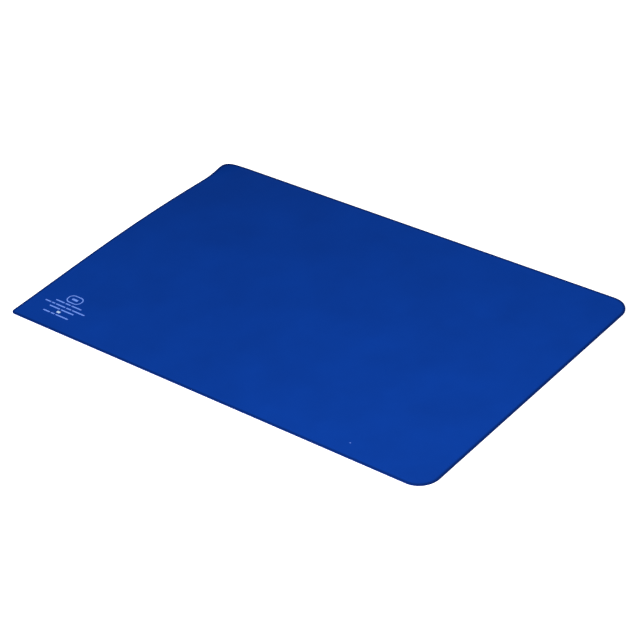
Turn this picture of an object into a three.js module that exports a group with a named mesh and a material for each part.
// Tray liner: one die-cut sheet of static-dissipative rubber that lies in a parts tray or on a bench.
// Millimetres, +Z up. X runs along the long side, Y along the short side, and the origin is the middle
// of the underside. The sheet lies flat but for its -X end, where it has kept a low arch from storage
// and its +Y corner is turned up.

import * as THREE from "three";
import { mergeVertices } from "three/addons/utils/BufferGeometryUtils.js";

// The cut sheet. The printed corner, at -X and -Y, is cut tighter than the other three.
const LENGTH = 609.6;
const WIDTH = 406.4;
const THICKNESS = 1.5;
const EDGE_CHAMFER = 0.2;
const CORNER_RADIUS = 25.4;
const PRINTED_CORNER_RADIUS = 6;

// The arch: highest at the -X edge, and flat at its reach from that edge. Across the sheet it is a sine
// that leans towards +Y.
const ARCH_HEIGHT = 6.4;
const ARCH_REACH = 400;
const ARCH_LEAN = 1.2;

// The turned-up corner. Its bend starts on the long edge and ends on the short edge, at these distances
// from where the two would meet, and its height is what a sharp corner there would reach.
const CURL_HEIGHT = 15.5;
const CURL_ON_LONG_EDGE = 23.5;
const CURL_ON_SHORT_EDGE = 61;
const CURL_EASE = 2;

// Facets
const CORNER_STEPS = 10;
const ARCH_STEPS = 18;
const ARCH_ROWS = 14;
const CURL_ROWS = 9;
const RIM_LAYERS = 3;

const SLOPE_STEP = 0.5;

const SHEET_BLUE = new THREE.Color().setRGB(0.046, 0.235, 0.59, THREE.SRGBColorSpace);

const half = (size) => size / 2;

// Distances from the -X edge at which the sheet is divided: round that end's corners, over the arch,
// across the flat, and round the other two corners.
function lengthStations() {
  const endRadius = Math.max(CORNER_RADIUS, PRINTED_CORNER_RADIUS);
  const stations = [];
  for (let i = 0; i < CORNER_STEPS; i++)
    stations.push(endRadius * (1 - Math.cos((i / CORNER_STEPS) * half(Math.PI))));
  for (let i = 0; i <= ARCH_STEPS; i++)
    stations.push(THREE.MathUtils.lerp(endRadius, ARCH_REACH, i / ARCH_STEPS));
  for (let i = 0; i <= CORNER_STEPS; i++)
    stations.push(LENGTH - CORNER_RADIUS * (1 - Math.sin((i / CORNER_STEPS) * half(Math.PI))));
  return stations;
}

// Where the sheet is divided across its width, as shares of it, with finer rows at the turned-up corner.
function widthShares() {
  const curlStart = 1 - CURL_ON_SHORT_EDGE / WIDTH;
  const shares = [];
  for (let i = 0; i < ARCH_ROWS; i++) shares.push((curlStart * i) / ARCH_ROWS);
  for (let i = 0; i <= CURL_ROWS; i++)
    shares.push(THREE.MathUtils.lerp(curlStart, 1, i / CURL_ROWS));
  return shares;
}

// How far a rounded corner draws the long edge in, at a distance from that end.
function cornerInset(distance, radius) {
  const along = Math.max(radius - distance, 0);
  return radius - Math.sqrt(radius * radius - along * along);
}

// Height of the underside above the surface that the sheet lies on, at a distance u from the -X edge
// and v from the -Y edge.
function lift(u, v) {
  const share = THREE.MathUtils.clamp(v / WIDTH, 0, 1);
  const swell = Math.max(Math.sin(Math.PI * share ** ARCH_LEAN), 0);
  const fade = Math.max(1 - u / ARCH_REACH, 0) ** 2;
  const pastBend = Math.max(1 - u / CURL_ON_LONG_EDGE - (WIDTH - v) / CURL_ON_SHORT_EDGE, 0);
  return ARCH_HEIGHT * swell * fade + CURL_HEIGHT * pastBend ** CURL_EASE;
}

// The direction square to the sheet at that point, along which its thickness is laid off.
function upwards(u, v) {
  const slopeX = (lift(u + SLOPE_STEP, v) - lift(u - SLOPE_STEP, v)) / (2 * SLOPE_STEP);
  const slopeY = (lift(u, v + SLOPE_STEP) - lift(u, v - SLOPE_STEP)) / (2 * SLOPE_STEP);
  return new THREE.Vector3(-slopeX, -slopeY, 1).normalize();
}

// A box divided at the stations, whose points are then moved to the sheet's outline and lifted. Its
// middle rim layer is the cut edge, and the layers above and below it are the chamfers.
function sheetGeometry() {
  const columns = lengthStations();
  const rows = widthShares();
  const heights = [0, EDGE_CHAMFER, THICKNESS - EDGE_CHAMFER, THICKNESS];
  const box = new THREE.BoxGeometry(1, 1, 1, columns.length - 1, rows.length - 1, RIM_LAYERS);
  box.deleteAttribute("normal");
  box.deleteAttribute("uv");
  const sheet = mergeVertices(box);
  const points = sheet.getAttribute("position");
  const step = (value, count) => Math.round((value + 0.5) * count);
  for (let i = 0; i < points.count; i++) {
    const along = columns[step(points.getX(i), columns.length - 1)];
    const share = rows[step(points.getY(i), rows.length - 1)];
    const layer = step(points.getZ(i), RIM_LAYERS);
    const inset = layer === 0 || layer === RIM_LAYERS ? EDGE_CHAMFER : 0;
    const farCorner = cornerInset(LENGTH - along, CORNER_RADIUS);
    const front = inset + farCorner + cornerInset(along, PRINTED_CORNER_RADIUS);
    const back = inset + farCorner + cornerInset(along, CORNER_RADIUS);
    const u = THREE.MathUtils.lerp(inset, LENGTH - inset, along / LENGTH);
    const v = THREE.MathUtils.lerp(front, WIDTH - back, share);
    const point = new THREE.Vector3(u - half(LENGTH), v - half(WIDTH), lift(u, v));
    point.addScaledVector(upwards(u, v), heights[layer]);
    points.setXYZ(i, point.x, point.y, point.z);
  }
  return sheet;
}

function flatShaded(geometry) {
  const loose = geometry.toNonIndexed();
  loose.computeVertexNormals();
  return loose;
}

const liner = new THREE.Group();

const sheet = new THREE.Mesh(
  flatShaded(sheetGeometry()),
  new THREE.MeshStandardMaterial({ color: SHEET_BLUE, roughness: 0.62, metalness: 0 }),
);
sheet.name = "liner_sheet";
liner.add(sheet);

export default liner;
